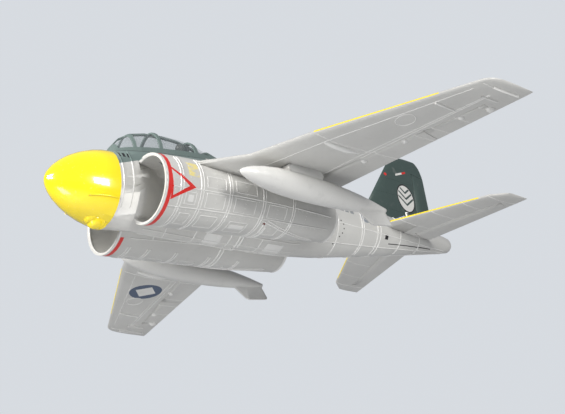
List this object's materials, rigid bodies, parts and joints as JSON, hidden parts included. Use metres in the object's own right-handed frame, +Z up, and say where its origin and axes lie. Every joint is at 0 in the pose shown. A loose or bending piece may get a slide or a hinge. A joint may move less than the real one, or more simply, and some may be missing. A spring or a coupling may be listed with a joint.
{
  "type": "twin ducted fan model jet aircraft",
  "caption": "Remote control model of a twin-engined attack jet: foam shells, ducted fans, hinged control surfaces with servos and pushrods, drop tanks and a lift-off canopy hatch.",
  "frame": {"origin": "centre of the bounding box in plan, at the height of the lowest point (the intake lips)", "axes": "+Z up; the nose points to -Y; the port wing points to +X"},
  "size_m": [0.7, 0.6119, 0.214],
  "materials": {
    "white_foam": "painted moulded foam, satin",
    "yellow_nose": "glossy paint",
    "deck_green": "satin paint",
    "slate_green": "satin paint",
    "clear_canopy": "clear moulded sheet",
    "cockpit_black": "matt",
    "crew_dark": "matt",
    "steel": "bright wire",
    "battery_wrap": "shrink wrap",
    "strap": "woven strap",
    "plywood": "bare ply",
    "black_plastic": "moulded",
    "heat_shrink": "shrink wrap",
    "rotor_plastic": "moulded",
    "motor_can": "turned",
    "duct_liner": "thin sheet",
    "carbon": "wound tube",
    "servo_blue": "moulded",
    "nylon": "moulded"
  },
  "bodies": {
    "airframe": {"fuselage_port": "white_foam", "fuselage_starboard": "white_foam", "radome": "yellow_nose", "turret": "yellow_nose", "hatch_magnets": "steel", "battery": "battery_wrap", "battery_strap": "strap", "equipment_tray": "plywood", "receiver": "black_plastic", "speed_controllers": "heat_shrink", "fan_housing_port": "black_plastic", "fan_housing_starboard": "black_plastic", "fan_motors": "motor_can", "intake_duct_port": "duct_liner", "intake_duct_starboard": "duct_liner", "thrust_tube_port": "duct_liner", "thrust_tube_starboard": "duct_liner", "exhaust_rings": "motor_can", "wing_port": "white_foam", "wing_starboard": "white_foam", "wing_spars": "carbon", "wing_hinge_wires": "steel", "wing_servos": "servo_blue", "tank_pylons": "white_foam", "tank_port": "white_foam", "tank_starboard": "white_foam", "fin": "slate_green", "tail_hinge_wires": "steel", "tail_servos": "servo_blue", "stabiliser_port": "white_foam", "stabiliser_starboard": "white_foam"},
    "aileron_port": {"aileron_port": "white_foam"},
    "aileron_arm_port": {"aileron_arm_port": "nylon"},
    "aileron_rod_port": {"aileron_rod_port": "steel"},
    "aileron_starboard": {"aileron_starboard": "white_foam"},
    "aileron_arm_starboard": {"aileron_arm_starboard": "nylon"},
    "aileron_rod_starboard": {"aileron_rod_starboard": "steel"},
    "flap_port": {"flap_port": "white_foam"},
    "flap_arm_port": {"flap_arm_port": "nylon"},
    "flap_rod_port": {"flap_rod_port": "steel"},
    "flap_starboard": {"flap_starboard": "white_foam"},
    "flap_arm_starboard": {"flap_arm_starboard": "nylon"},
    "flap_rod_starboard": {"flap_rod_starboard": "steel"},
    "elevator_port": {"elevator_port": "white_foam"},
    "elevator_arm_port": {"elevator_arm_port": "nylon"},
    "elevator_rod_port": {"elevator_rod_port": "steel"},
    "elevator_starboard": {"elevator_starboard": "white_foam"},
    "elevator_arm_starboard": {"elevator_arm_starboard": "nylon"},
    "elevator_rod_starboard": {"elevator_rod_starboard": "steel"},
    "rudder": {"rudder": "slate_green"},
    "rudder_arm": {"rudder_arm": "nylon"},
    "rudder_rod": {"rudder_rod": "steel"},
    "fan_port": {"fan_rotor_port": "rotor_plastic"},
    "fan_starboard": {"fan_rotor_starboard": "rotor_plastic"},
    "canopy_hatch": {"canopy_frame": "deck_green", "canopy_glazing": "clear_canopy", "cockpit_tub": "cockpit_black", "crew_seats": "cockpit_black", "crew_figures": "crew_dark", "hatch_keepers": "steel"}
  },
  "joints": [
    {"name": "aileron_port", "type": "hinge", "parent": "airframe", "child": "aileron_port", "pos_m": [0.084, -0.03852, 0.06521], "axis": [0.9738, 0.2251, -0.0312], "range_deg": [-22, 22]},
    {"name": "aileron_arm_port", "type": "hinge", "parent": "airframe", "child": "aileron_arm_port", "pos_m": [0.26039, -0.03264, 0.06141], "axis": [0.9738, 0.2251, -0.0312], "range_deg": [-22, 22]},
    {"name": "aileron_rod_port", "type": "hinge", "parent": "aileron_arm_port", "child": "aileron_rod_port", "pos_m": [0.26067, -0.03258, 0.07041], "axis": [0.9738, 0.2251, -0.0312], "range_deg": [-22, 22]},
    {"name": "aileron_starboard", "type": "hinge", "parent": "airframe", "child": "aileron_starboard", "pos_m": [-0.084, -0.03852, 0.06521], "axis": [0.9738, -0.2251, 0.0312], "range_deg": [-22, 22]},
    {"name": "aileron_arm_starboard", "type": "hinge", "parent": "airframe", "child": "aileron_arm_starboard", "pos_m": [-0.26039, -0.03264, 0.06141], "axis": [0.9738, -0.2251, 0.0312], "range_deg": [-22, 22]},
    {"name": "aileron_rod_starboard", "type": "hinge", "parent": "aileron_arm_starboard", "child": "aileron_rod_starboard", "pos_m": [-0.26067, -0.03258, 0.07041], "axis": [0.9738, -0.2251, 0.0312], "range_deg": [-22, 22]},
    {"name": "flap_port", "type": "hinge", "parent": "airframe", "child": "flap_port", "pos_m": [0.084, -0.03852, 0.06521], "axis": [0.9738, 0.2251, -0.0312], "range_deg": [-15, 0]},
    {"name": "flap_arm_port", "type": "hinge", "parent": "airframe", "child": "flap_arm_port", "pos_m": [0.22382, -0.04315, 0.0622], "axis": [0.9738, 0.2251, -0.0312], "range_deg": [-15, 0]},
    {"name": "flap_rod_port", "type": "hinge", "parent": "flap_arm_port", "child": "flap_rod_port", "pos_m": [0.2241, -0.04309, 0.07119], "axis": [0.9738, 0.2251, -0.0312], "range_deg": [0, 15]},
    {"name": "flap_starboard", "type": "hinge", "parent": "airframe", "child": "flap_starboard", "pos_m": [-0.084, -0.03852, 0.06521], "axis": [0.9738, -0.2251, 0.0312], "range_deg": [-40, 0]},
    {"name": "flap_arm_starboard", "type": "hinge", "parent": "airframe", "child": "flap_arm_starboard", "pos_m": [-0.22382, -0.04315, 0.0622], "axis": [0.9738, -0.2251, 0.0312], "range_deg": [-15, 0]},
    {"name": "flap_rod_starboard", "type": "hinge", "parent": "flap_arm_starboard", "child": "flap_rod_starboard", "pos_m": [-0.2241, -0.04309, 0.07119], "axis": [0.9738, -0.2251, 0.0312], "range_deg": [0, 15]},
    {"name": "elevator_port", "type": "hinge", "parent": "airframe", "child": "elevator_port", "pos_m": [0.025, 0.213, 0.0854], "axis": [0.9443, 0.329, 0], "range_deg": [-20, 20]},
    {"name": "elevator_arm_port", "type": "hinge", "parent": "airframe", "child": "elevator_arm_port", "pos_m": [0.03865, 0.18599, 0.0908], "axis": [0.9443, 0.329, 0], "range_deg": [-20, 20]},
    {"name": "elevator_rod_port", "type": "hinge", "parent": "elevator_arm_port", "child": "elevator_rod_port", "pos_m": [0.03865, 0.18599, 0.0998], "axis": [0.9443, 0.329, 0], "range_deg": [-20, 20]},
    {"name": "elevator_starboard", "type": "hinge", "parent": "airframe", "child": "elevator_starboard", "pos_m": [-0.025, 0.213, 0.0854], "axis": [0.9443, -0.329, 0], "range_deg": [-20, 20]},
    {"name": "elevator_arm_starboard", "type": "hinge", "parent": "airframe", "child": "elevator_arm_starboard", "pos_m": [-0.03865, 0.18599, 0.0908], "axis": [0.9443, -0.329, 0], "range_deg": [-20, 20]},
    {"name": "elevator_rod_starboard", "type": "hinge", "parent": "elevator_arm_starboard", "child": "elevator_rod_starboard", "pos_m": [-0.03865, 0.18599, 0.0998], "axis": [0.9443, -0.329, 0], "range_deg": [-20, 20]},
    {"name": "rudder", "type": "hinge", "parent": "airframe", "child": "rudder", "pos_m": [0, 0.249, 0.116], "axis": [0, 0.0917, 0.9958], "range_deg": [-25, 25]},
    {"name": "rudder_arm", "type": "hinge", "parent": "airframe", "child": "rudder_arm", "pos_m": [-0.0015, 0.21045, 0.13361], "axis": [0, 0.0917, 0.9958], "range_deg": [-25, 25]},
    {"name": "rudder_rod", "type": "hinge", "parent": "rudder_arm", "child": "rudder_rod", "pos_m": [-0.0105, 0.21045, 0.13361], "axis": [0, 0.0917, 0.9958], "range_deg": [-25, 25]},
    {"name": "fan_port", "type": "hinge", "parent": "airframe", "child": "fan_port", "pos_m": [0.04277, -0.10206, 0.04892], "axis": [0, 1, 0], "continuous": true},
    {"name": "fan_starboard", "type": "hinge", "parent": "airframe", "child": "fan_starboard", "pos_m": [-0.04277, -0.10206, 0.04892], "axis": [0, 1, 0], "continuous": true},
    {"name": "hatch_lift", "type": "slide", "parent": "airframe", "child": "canopy_hatch", "axis": [0, 0, 1], "range_m": [0, 0.06]}
  ],
  "couplings": [
    {"joint": "aileron_arm_port", "follows": "aileron_port", "ratio": 1},
    {"joint": "aileron_rod_port", "follows": "aileron_port", "ratio": -1},
    {"joint": "aileron_starboard", "follows": "aileron_port", "ratio": -1},
    {"joint": "aileron_arm_starboard", "follows": "aileron_port", "ratio": -1},
    {"joint": "aileron_rod_starboard", "follows": "aileron_port", "ratio": 1},
    {"joint": "flap_arm_port", "follows": "flap_port", "ratio": 1},
    {"joint": "flap_rod_port", "follows": "flap_port", "ratio": -1},
    {"joint": "flap_starboard", "follows": "flap_port", "ratio": 1},
    {"joint": "flap_arm_starboard", "follows": "flap_port", "ratio": 1},
    {"joint": "flap_rod_starboard", "follows": "flap_port", "ratio": -1},
    {"joint": "elevator_arm_port", "follows": "elevator_port", "ratio": 1},
    {"joint": "elevator_rod_port", "follows": "elevator_port", "ratio": -1},
    {"joint": "elevator_starboard", "follows": "elevator_port", "ratio": 1},
    {"joint": "elevator_arm_starboard", "follows": "elevator_port", "ratio": 1},
    {"joint": "elevator_rod_starboard", "follows": "elevator_port", "ratio": -1},
    {"joint": "rudder_arm", "follows": "rudder", "ratio": 1},
    {"joint": "rudder_rod", "follows": "rudder", "ratio": -1}
  ]
}
